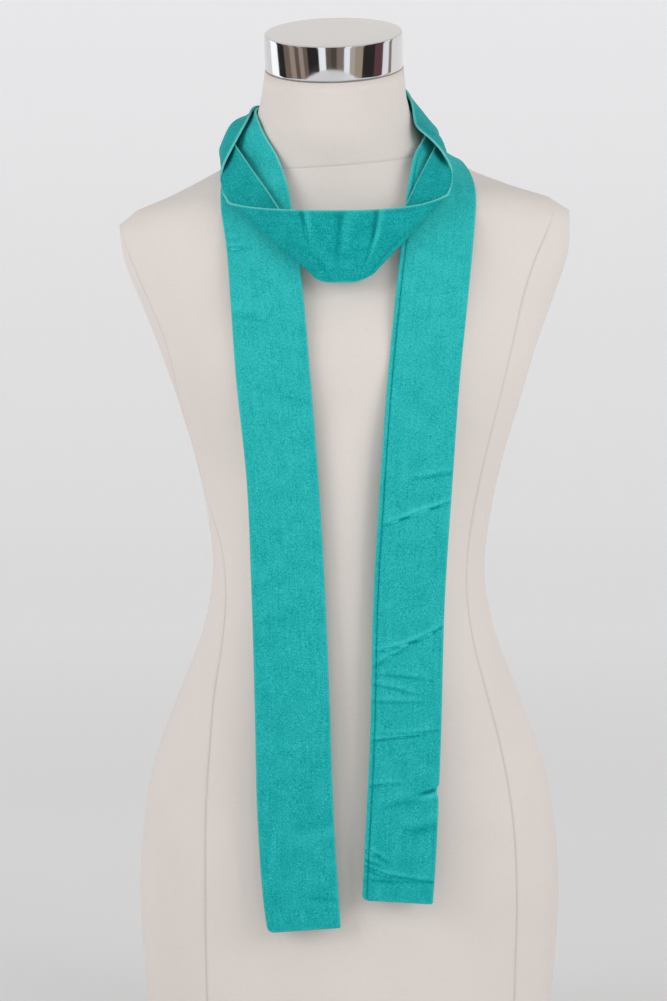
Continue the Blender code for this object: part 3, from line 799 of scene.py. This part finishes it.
def cover_angles(ring):
    """Every column's angle round one section, and its distance in mm from the nearest seam."""
    seams = seam_angles(ring)
    after = [offset for offset in COVER_SEAM_OFFSETS if offset >= 0]
    before = [offset for offset in COVER_SEAM_OFFSETS if offset < 0]
    angles = []
    distances = []
    for start, end, count in zip(seams, seams[1:], COVER_COLUMNS):
        start_speed = turning_speed(ring, start)
        end_speed = turning_speed(ring, end)
        first = start + after[-1] / start_speed
        final = end + before[0] / end_speed
        angles += [start + offset / start_speed for offset in after]
        distances += after
        for number in range(1, count):
            angles.append(first + (final - first) * number / count)
            distances.append(FAR_FROM_SEAM)
        angles += [end + offset / end_speed for offset in before]
        distances += [-offset for offset in before]
    return angles, distances


def add_form_cover():
    places = ring_places(COVER_RING_STEP)
    neck_places = [NECK_SEAM_PLACE + NECK_SEAM_STEP * offset for offset in COVER_SEAM_OFFSETS]
    places = [place for place in places if not neck_places[0] <= place <= neck_places[-1]]
    places = sorted(places + neck_places)
    grid = []
    seams = []
    for place in places:
        ring = ring_at(place)
        angles, aside = cover_angles(ring)
        near_seam = math.exp(-(((place - NECK_SEAM_PLACE) / NECK_SEAM_REACH) ** 2))
        tilt = NECK_SEAM_TILT * near_seam
        grid.append([form_point(ring_at(place + tilt * math.cos(turn)), turn) for turn in angles])
        fade = 1 - smooth_step(*COVER_SEAM_FADES, ring.height)
        seam = np.exp(-((np.array(aside) / COVER_SEAM_WIDTH) ** 2)) * fade
        if abs(place - NECK_SEAM_PLACE) < COVER_SEAM_OFFSETS[-1] * NECK_SEAM_STEP:
            from_neck = (place - NECK_SEAM_PLACE) / NECK_SEAM_STEP
            neck_seam = math.exp(-((from_neck / COVER_SEAM_WIDTH) ** 2))
            seam = np.maximum(seam, neck_seam * NECK_SEAM_SHARE)
        seams.append(seam)
    grid = np.array(grid)
    seams = np.array(seams)
    rings, sides, _ = grid.shape
    around = np.concatenate((grid[:, -1:], grid, grid[:, :1]), axis=1)
    normals = unit(np.cross(np.gradient(around, axis=1)[:, 1:-1], np.gradient(grid, axis=0)))
    grid = grid - normals * (seams * COVER_SEAM_DEPTH)[:, :, None]
    faces = ring_faces(rings, sides)
    faces.append(tuple(reversed(range(sides))))
    faces.append(tuple(range((rings - 1) * sides, rings * sides)))
    obj = new_object("form_cover", grid.reshape(-1, 3), faces)
    point_values(obj, "seam", seams)
    for face in list(obj.data.polygons)[-2:]:
        face.use_smooth = False
    return obj


# ---- neck cap


CapPoint = namedtuple("CapPoint", "radius depth")
CAP_PROFILE = [
    CapPoint(30.0, 0.0),
    CapPoint(54.9, 0.0),
    CapPoint(55.6, 0.1),
    CapPoint(56.2, 0.35),
    CapPoint(56.65, 0.8),
    CapPoint(56.9, 1.4),
    CapPoint(57.0, 2.2),
    CapPoint(57.0, 27.6),
    CapPoint(56.9, 28.4),
    CapPoint(56.6, 29.2),
    CapPoint(56.1, 29.75),
    CapPoint(55.4, 30.0),
    CapPoint(30.0, 30.0),
]


def add_cap():
    pitch = math.radians(CAP_PITCH_DEGREES)
    tilt = np.array(
        [
            [1, 0, 0],
            [0, math.cos(pitch), -math.sin(pitch)],
            [0, math.sin(pitch), math.cos(pitch)],
        ]
    )
    rings = [circle_at(place.radius, -place.depth, CAP_SIDES) for place in CAP_PROFILE]
    points = np.concatenate(rings + [[[0.0, 0.0, 0.0]], [[0.0, 0.0, -CAP_HEIGHT]]])
    points = points @ tilt.T + np.array(CAP_CENTRE)
    faces = [tuple(reversed(face)) for face in ring_faces(len(rings), CAP_SIDES)]
    top = len(points) - 2
    bottom = len(points) - 1
    last = (len(rings) - 1) * CAP_SIDES
    for side in range(CAP_SIDES):
        following = (side + 1) % CAP_SIDES
        faces.append((top, side, following))
        faces.append((bottom, last + following, last + side))
    return new_object("neck_cap_turned", points, faces)


# ---- materials


NOISE_RANGE = (0.3, 0.7)  # what nearly all of a noise texture's values lie in
# The teal runs between these two by random mottle and by painted light: a painted sheen on the tails,
# painted shade in creases, grooves and lower down.
DARK_TEAL_AND_SHADE = (0.001, 0.32, 0.325)
PALE_TEAL_AND_SHEEN = (0.045, 0.56, 0.55)
# the colour of the painted highlight along the folded edges
EDGE_HIGHLIGHT_TEAL = (0.2, 0.68, 0.63)
EDGE_HIGHLIGHT_SHARE = 0.7
JERSEY_DARK = (0.70, 0.64, 0.60)
JERSEY_PALE = (0.735, 0.675, 0.635)
JERSEY_SEAM = (0.42, 0.37, 0.33)
JERSEY_SEAM_SHARE = 0.38
CHROME_SIDE = (0.72, 0.72, 0.73)
SATIN_TOP = (0.84, 0.82, 0.80)
# painted shade: the backdrop is painted darker near the form and paler away from it and up the wall
PAINTED_SHADE_FLOOR_NEAR = (0.585, 0.58, 0.583)
PAINTED_GRADE_FLOOR_FAR = (0.735, 0.735, 0.74)
PAINTED_GRADE_WALL_TOP = (0.79, 0.79, 0.80)


def new_material(name):
    material = bpy.data.materials.new(name)
    material.use_nodes = True
    return material, material.node_tree, material.node_tree.nodes["Principled BSDF"]


def add_node(tree, kind, **settings):
    node = tree.nodes.new(kind)
    for name, value in settings.items():
        setattr(node, name, value)
    return node


def noise(tree, place, scale, detail=3.0, roughness=0.55):
    node = add_node(tree, "ShaderNodeTexNoise")
    node.inputs["Scale"].default_value = scale
    node.inputs["Detail"].default_value = detail
    node.inputs["Roughness"].default_value = roughness
    tree.links.new(place, node.inputs["Vector"])
    return node.outputs["Fac"]


def ranged(tree, value, low, high, to_low, to_high):
    node = add_node(tree, "ShaderNodeMapRange", clamp=True)
    for name, number in (
        ("From Min", low),
        ("From Max", high),
        ("To Min", to_low),
        ("To Max", to_high),
    ):
        node.inputs[name].default_value = number
    tree.links.new(value, node.inputs["Value"])
    return node.outputs["Result"]


def noise_ranged(tree, value, to_low, to_high):
    return ranged(tree, value, *NOISE_RANGE, to_low, to_high)


def stored_value(tree, name):
    return add_node(tree, "ShaderNodeAttribute", attribute_name=name).outputs["Fac"]


def set_shader(shader, values):
    for name, value in values.items():
        shader.inputs[name].default_value = value


def maths(tree, operation, first, second):
    node = add_node(tree, "ShaderNodeMath", operation=operation)
    for socket, value in zip(node.inputs, (first, second)):
        if isinstance(value, float):
            socket.default_value = value
        else:
            tree.links.new(value, socket)
    return node.outputs["Value"]


def blended(tree, factor, first, second, blend="MIX"):
    node = add_node(tree, "ShaderNodeMix", data_type="RGBA", blend_type=blend)
    sockets = [socket for socket in node.inputs if socket.type == "RGBA"]
    for socket, value in zip(sockets, (first, second)):
        if isinstance(value, tuple):
            socket.default_value = (*value, 1.0)
        else:
            tree.links.new(value, socket)
    if isinstance(factor, float):
        node.inputs["Factor"].default_value = factor
    else:
        tree.links.new(factor, node.inputs["Factor"])
    return [socket for socket in node.outputs if socket.type == "RGBA"][0]


def bumped(tree, height, strength, distance, normal=None):
    node = add_node(tree, "ShaderNodeBump")
    node.inputs["Strength"].default_value = strength
    node.inputs["Distance"].default_value = distance
    tree.links.new(height, node.inputs["Height"])
    if normal is not None:
        tree.links.new(normal, node.inputs["Normal"])
    return node.outputs["Normal"]


def suede_material():
    material, tree, shader = new_material("teal_microsuede")
    texture = add_node(tree, "ShaderNodeTexCoord")
    place = texture.outputs["Object"]
    stretched = add_node(tree, "ShaderNodeMapping")
    stretched.inputs["Scale"].default_value = (420.0, 22.0, 1.0)
    tree.links.new(texture.outputs["UV"], stretched.inputs["Vector"])
    mottle = noise(tree, place, scale=640.0, detail=4.0, roughness=0.7)
    patches = noise(tree, place, scale=70.0, detail=4.0, roughness=0.6)
    fine = noise(tree, place, scale=1500.0, detail=2.0, roughness=0.6)
    streaks = noise(tree, stretched.outputs["Vector"], scale=1.0, detail=3.0, roughness=0.5)
    parts = add_node(tree, "ShaderNodeSeparateXYZ")
    tree.links.new(place, parts.inputs["Vector"])
    # painted sheen: the upright parts are painted lighter
    tone_and_painted_light = ranged(tree, stored_value(tree, "upright"), 0.0, 1.0, 0.0, 0.5)
    for value, reach in ((fine, 0.55), (mottle, 0.3), (patches, 0.12), (streaks, 0.09)):
        tone_and_painted_light = maths(tree, "ADD", tone_and_painted_light, noise_ranged(tree, value, -reach, reach))
    # painted shade in creases and grooves, painted highlight on the creases' ridges
    painted_groove_shading = ranged(tree, stored_value(tree, "groove_shading_paint"), -1.0, 0.5, -1.1, 0.55)
    tone_and_painted_light = maths(tree, "ADD", tone_and_painted_light, painted_groove_shading)
    # painted shade: the cloth is darker towards the bottom, where less light falls
    tone_and_painted_light = maths(tree, "ADD", tone_and_painted_light, ranged(tree, parts.outputs["Z"], 0.15, 0.75, -0.26, 0.08))
    base = blended(tree, tone_and_painted_light, DARK_TEAL_AND_SHADE, PALE_TEAL_AND_SHEEN)
    # the darkest tones, painted shade among them, are darkened further
    deep_shade_and_mottle = ranged(tree, tone_and_painted_light, -0.6, 0.0, 0.66, 1.0)
    base = blended(tree, 1.0, base, deep_shade_and_mottle, "MULTIPLY")
    # painted highlight along the folded edges
    lit = maths(tree, "MULTIPLY", stored_value(tree, "painted_edge_highlight"), EDGE_HIGHLIGHT_SHARE)
    tree.links.new(blended(tree, lit, base, EDGE_HIGHLIGHT_TEAL), shader.inputs["Base Color"])
    tree.links.new(noise_ranged(tree, mottle, 0.95, 0.78), shader.inputs["Roughness"])
    normal = bumped(tree, mottle, strength=0.35, distance=0.0004)
    normal = bumped(tree, fine, strength=0.3, distance=0.0002, normal=normal)
    tree.links.new(normal, shader.inputs["Normal"])
    set_shader(
        shader,
        {
            "Specular IOR Level": 0.08,
            "Sheen Weight": 0.2,
            "Sheen Roughness": 0.3,
            "Sheen Tint": (0.25, 0.95, 0.92, 1.0),
        },
    )
    return material


def jersey_material():
    material, tree, shader = new_material("cream_jersey")
    place = add_node(tree, "ShaderNodeTexCoord").outputs["Object"]
    cloudy = noise(tree, place, scale=9.0, detail=3.0, roughness=0.5)
    courses = add_node(tree, "ShaderNodeMapping")
    courses.inputs["Scale"].default_value = (260.0, 260.0, 1300.0)
    tree.links.new(place, courses.inputs["Vector"])
    knit = noise(tree, courses.outputs["Vector"], scale=1.0, detail=2.0, roughness=0.6)
    base = blended(tree, noise_ranged(tree, cloudy, 0.0, 1.0), JERSEY_DARK, JERSEY_PALE)
    knitted = blended(tree, 1.0, base, noise_ranged(tree, knit, 0.98, 1.02), "MULTIPLY")
    seam = maths(tree, "MULTIPLY", stored_value(tree, "seam"), JERSEY_SEAM_SHARE)
    tree.links.new(blended(tree, seam, knitted, JERSEY_SEAM), shader.inputs["Base Color"])
    tree.links.new(noise_ranged(tree, knit, 0.9, 0.78), shader.inputs["Roughness"])
    normal = bumped(tree, knit, strength=0.2, distance=0.0003)
    tree.links.new(normal, shader.inputs["Normal"])
    set_shader(
        shader, {"Specular IOR Level": 0.25, "Sheen Weight": 0.12, "Sheen Roughness": 0.5}
    )
    return material


def chrome_material():
    material, tree, shader = new_material("cap_chrome")
    texture = add_node(tree, "ShaderNodeTexCoord")
    pitch = math.radians(CAP_PITCH_DEGREES)
    facing = add_node(tree, "ShaderNodeVectorMath", operation="DOT_PRODUCT")
    facing.inputs[1].default_value = (0.0, -math.sin(pitch), math.cos(pitch))
    tree.links.new(texture.outputs["Normal"], facing.inputs[0])
    top = ranged(tree, facing.outputs["Value"], 0.9, 0.99, 0.0, 1.0)
    smears = noise(tree, texture.outputs["Object"], scale=60.0, detail=3.0, roughness=0.6)
    polish = noise_ranged(tree, smears, 0.05, 0.1)
    satin = maths(tree, "ADD", polish, maths(tree, "MULTIPLY", top, 0.3))
    colour = blended(tree, top, CHROME_SIDE, SATIN_TOP)
    tree.links.new(colour, shader.inputs["Base Color"])
    tree.links.new(satin, shader.inputs["Roughness"])
    normal = bumped(tree, smears, strength=0.03, distance=0.0003)
    tree.links.new(normal, shader.inputs["Normal"])
    set_shader(shader, {"Metallic": 1.0})
    return material


def backdrop_material():
    material, tree, shader = new_material("glowing_backdrop_painted_shade")
    place = add_node(tree, "ShaderNodeTexCoord").outputs["Object"]
    parts = add_node(tree, "ShaderNodeSeparateXYZ")
    tree.links.new(place, parts.inputs["Vector"])
    reach = add_node(tree, "ShaderNodeVectorMath", operation="LENGTH")
    tree.links.new(place, reach.inputs[0])
    # painted shade: the floor is painted darker near the form; the backdrop also glows, though it is
    # no lamp
    far = ranged(tree, reach.outputs["Value"], 0.3, 3.2, 0.0, 1.0)
    rise = ranged(tree, parts.outputs["Z"], 0.05, 1.3, 0.0, 1.0)
    colour = blended(tree, rise, blended(tree, far, PAINTED_SHADE_FLOOR_NEAR, PAINTED_GRADE_FLOOR_FAR), PAINTED_GRADE_WALL_TOP)
    tree.links.new(colour, shader.inputs["Base Color"])
    tree.links.new(colour, shader.inputs["Emission Color"])
    set_shader(
        shader, {"Emission Strength": BACKDROP_GLOW, "Roughness": 0.9, "Specular IOR Level": 0.1}
    )
    return material


# ---- studio

COVE_RADIUS = 7000.0
COVE_FLOOR_RADII = [40.0, 1000.0, 3000.0]
COVE_ROUND = 1500.0
COVE_HEIGHT = 2700.0
COVE_SIDES = 96
COVE_STEPS = 12
WORLD_STRENGTH = 0.505
BACKDROP_GLOW = 0.35
SOFTBOX_DISTANCE = 2.6  # metres
SOFTBOX_HEIGHT = 1.35
SOFTBOX_SIZE = 1.4
SOFTBOX_POWERS = (21.6, 24.6)  # on the photo's left and right
SOFTBOX_AZIMUTH = 52.0
STRIPE_RADIUS = 1500.0
STRIPE_HEIGHT = 1500.0
STRIPE_STEP_DEGREES = 8.0
LID_COLOUR = (0.74, 0.73, 0.72, 1.0)
CAMERA_AZIMUTH = 6.0
CAMERA_ELEVATION = 4.5
CAMERA_DISTANCE = 3000.0
CAMERA_TARGET = (-14.0, 0.0, 479.0)
CAMERA_LENS = 128.4
CAMERA_SENSOR = 36.0


# What the cap's chrome side reflects, round from behind on the photo's left
Stripe = namedtuple("Stripe", "to_azimuth red green blue")
STRIPES = [
    Stripe(-128, 0.80, 0.80, 0.82),
    Stripe(-108, 1.30, 1.30, 1.32),
    Stripe(-92, 0.025, 0.025, 0.028),
    Stripe(-80, 0.19, 0.15, 0.12),
    Stripe(-70, 0.38, 0.30, 0.25),
    Stripe(-62, 0.15, 0.11, 0.09),
    Stripe(-54, 0.38, 0.30, 0.27),
    Stripe(-46, 0.17, 0.13, 0.10),
    Stripe(-26, 0.025, 0.022, 0.022),
    Stripe(-14, 1.05, 1.10, 1.15),
    Stripe(-5, 0.14, 0.11, 0.09),
    Stripe(5, 0.09, 0.07, 0.06),
    Stripe(18, 0.24, 0.19, 0.16),
    Stripe(28, 1.00, 1.05, 1.12),
    Stripe(37, 0.50, 0.44, 0.39),
    Stripe(51, 0.40, 0.33, 0.25),
    Stripe(73, 0.03, 0.025, 0.025),
    Stripe(90, 0.13, 0.06, 0.07),
    Stripe(104, 0.92, 0.92, 0.97),
    Stripe(111, 0.28, 0.22, 0.18),
    Stripe(180, 0.88, 0.86, 0.85),
]


def add_cove():
    """A round floor that curves up into a wall all the way round."""
    profile = [(radius, 0.0) for radius in COVE_FLOOR_RADII]
    for step in range(COVE_STEPS + 1):
        angle = math.pi / 2 * step / COVE_STEPS
        radius = COVE_RADIUS - COVE_ROUND * (1 - math.sin(angle))
        profile.append((radius, COVE_ROUND * (1 - math.cos(angle))))
    profile.append((COVE_RADIUS, COVE_HEIGHT))
    rings = [circle_at(radius, height, COVE_SIDES) for radius, height in profile]
    faces = ring_faces(len(rings), COVE_SIDES)
    faces.append(tuple(range(COVE_SIDES)))
    obj = new_object("studio_cove", np.concatenate(rings), faces)
    obj.data.materials.append(backdrop_material())


def add_camera():
    azimuth = math.radians(CAMERA_AZIMUTH)
    elevation = math.radians(CAMERA_ELEVATION)
    back = Vector(
        (
            math.sin(azimuth) * math.cos(elevation),
            -math.cos(azimuth) * math.cos(elevation),
            math.sin(elevation),
        )
    )
    camera = bpy.data.objects.new("camera", bpy.data.cameras.new("camera"))
    camera.data.lens = CAMERA_LENS
    camera.data.sensor_width = CAMERA_SENSOR
    camera.location = (Vector(CAMERA_TARGET) + back * CAMERA_DISTANCE) * MM
    camera.rotation_euler = (-back).to_track_quat("-Z", "Y").to_euler()
    bpy.context.scene.collection.objects.link(camera)
    bpy.context.scene.camera = camera


def add_light(name, kind, energy, place, target, **settings):
    light = bpy.data.lights.new(name, kind)
    light.energy = energy
    for setting, value in settings.items():
        setattr(light, setting, value)
    obj = bpy.data.objects.new(name, light)
    obj.location = Vector(place)
    obj.rotation_euler = (Vector(target) - Vector(place)).to_track_quat("-Z", "Y").to_euler()
    bpy.context.scene.collection.objects.link(obj)
    return obj


def add_world():
    world = bpy.data.worlds.new("studio")
    world.use_nodes = True
    background = world.node_tree.nodes["Background"]
    background.inputs["Color"].default_value = (1.0, 1.0, 1.0, 1.0)
    background.inputs["Strength"].default_value = WORLD_STRENGTH
    bpy.context.scene.world = world


def reflected_material():
    material = bpy.data.materials.new("reflected_studio")
    material.use_nodes = True
    tree = material.node_tree
    tree.nodes.remove(tree.nodes["Principled BSDF"])
    glow = add_node(tree, "ShaderNodeEmission")
    colour = add_node(tree, "ShaderNodeAttribute", attribute_name="glow")
    tree.links.new(colour.outputs["Color"], glow.inputs["Color"])
    tree.links.new(glow.outputs["Emission"], tree.nodes["Material Output"].inputs["Surface"])
    return material


def add_reflected_studio():
    """The dark room and its windows, upright stripes that only the chrome's reflections show."""
    points = []
    faces = []
    colours = []
    start = -180.0
    for stripe in STRIPES:
        steps = max(1, round((stripe.to_azimuth - start) / STRIPE_STEP_DEGREES))
        for step in range(steps):
            near = start + (stripe.to_azimuth - start) * step / steps
            far = start + (stripe.to_azimuth - start) * (step + 1) / steps
            corner = len(points)
            for azimuth, height in ((near, 0), (far, 0), (far, 1), (near, 1)):
                turn = math.radians(azimuth + CAMERA_AZIMUTH)
                points.append(
                    (
                        CAP_CENTRE[0] + STRIPE_RADIUS * math.sin(turn),
                        CAP_CENTRE[1] - STRIPE_RADIUS * math.cos(turn),
                        STRIPE_HEIGHT * height,
                    )
                )
            faces.append((corner, corner + 1, corner + 2, corner + 3))
            colours += [(stripe.red, stripe.green, stripe.blue, 1.0)] * 4
        start = stripe.to_azimuth
    middle = len(points)
    points.append((CAP_CENTRE[0], CAP_CENTRE[1], STRIPE_HEIGHT))
    for corner in range(0, middle, 4):
        faces.append((corner + 3, corner + 2, middle))
        colours += [LID_COLOUR] * 3
    obj = new_object("reflected_studio", np.array(points), faces)
    attribute = obj.data.color_attributes.new("glow", "FLOAT_COLOR", "CORNER")
    attribute.data.foreach_set("color", np.array(colours, np.float32).ravel())
    obj.data.materials.append(reflected_material())
    obj.visible_camera = False
    obj.visible_diffuse = False
    obj.visible_shadow = False
    obj.visible_transmission = False


def add_softbox(name, azimuth, power):
    turn = math.radians(azimuth)
    place = (
        SOFTBOX_DISTANCE * math.sin(turn),
        -SOFTBOX_DISTANCE * math.cos(turn),
        SOFTBOX_HEIGHT,
    )
    add_light(name, "AREA", power, place, (0.0, 0.0, 0.5), size=SOFTBOX_SIZE)


def main():
    bpy.context.scene.view_settings.view_transform = "Standard"
    scarf = add_scarf()
    scarf.data.materials.append(suede_material())
    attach(scarf, "root")
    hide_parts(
        "scarf_front",
        "scarf_left_loop",
        "scarf_right_loop",
        "scarf_nape_lower",
        "scarf_nape_upper",
        "scarf_left_tail",
        "scarf_right_tail",
    )
    cover = add_form_cover()
    cover.data.materials.append(jersey_material())
    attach(cover, "root")
    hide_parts("form_body")
    cap = add_cap()
    cap.data.materials.append(chrome_material())
    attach(cap, "root")
    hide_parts("neck_cap")
    add_cove()
    add_camera()
    add_world()
    add_reflected_studio()
    add_softbox("softbox_left", -SOFTBOX_AZIMUTH, SOFTBOX_POWERS[0])
    add_softbox("softbox_right", SOFTBOX_AZIMUTH, SOFTBOX_POWERS[1])


main()
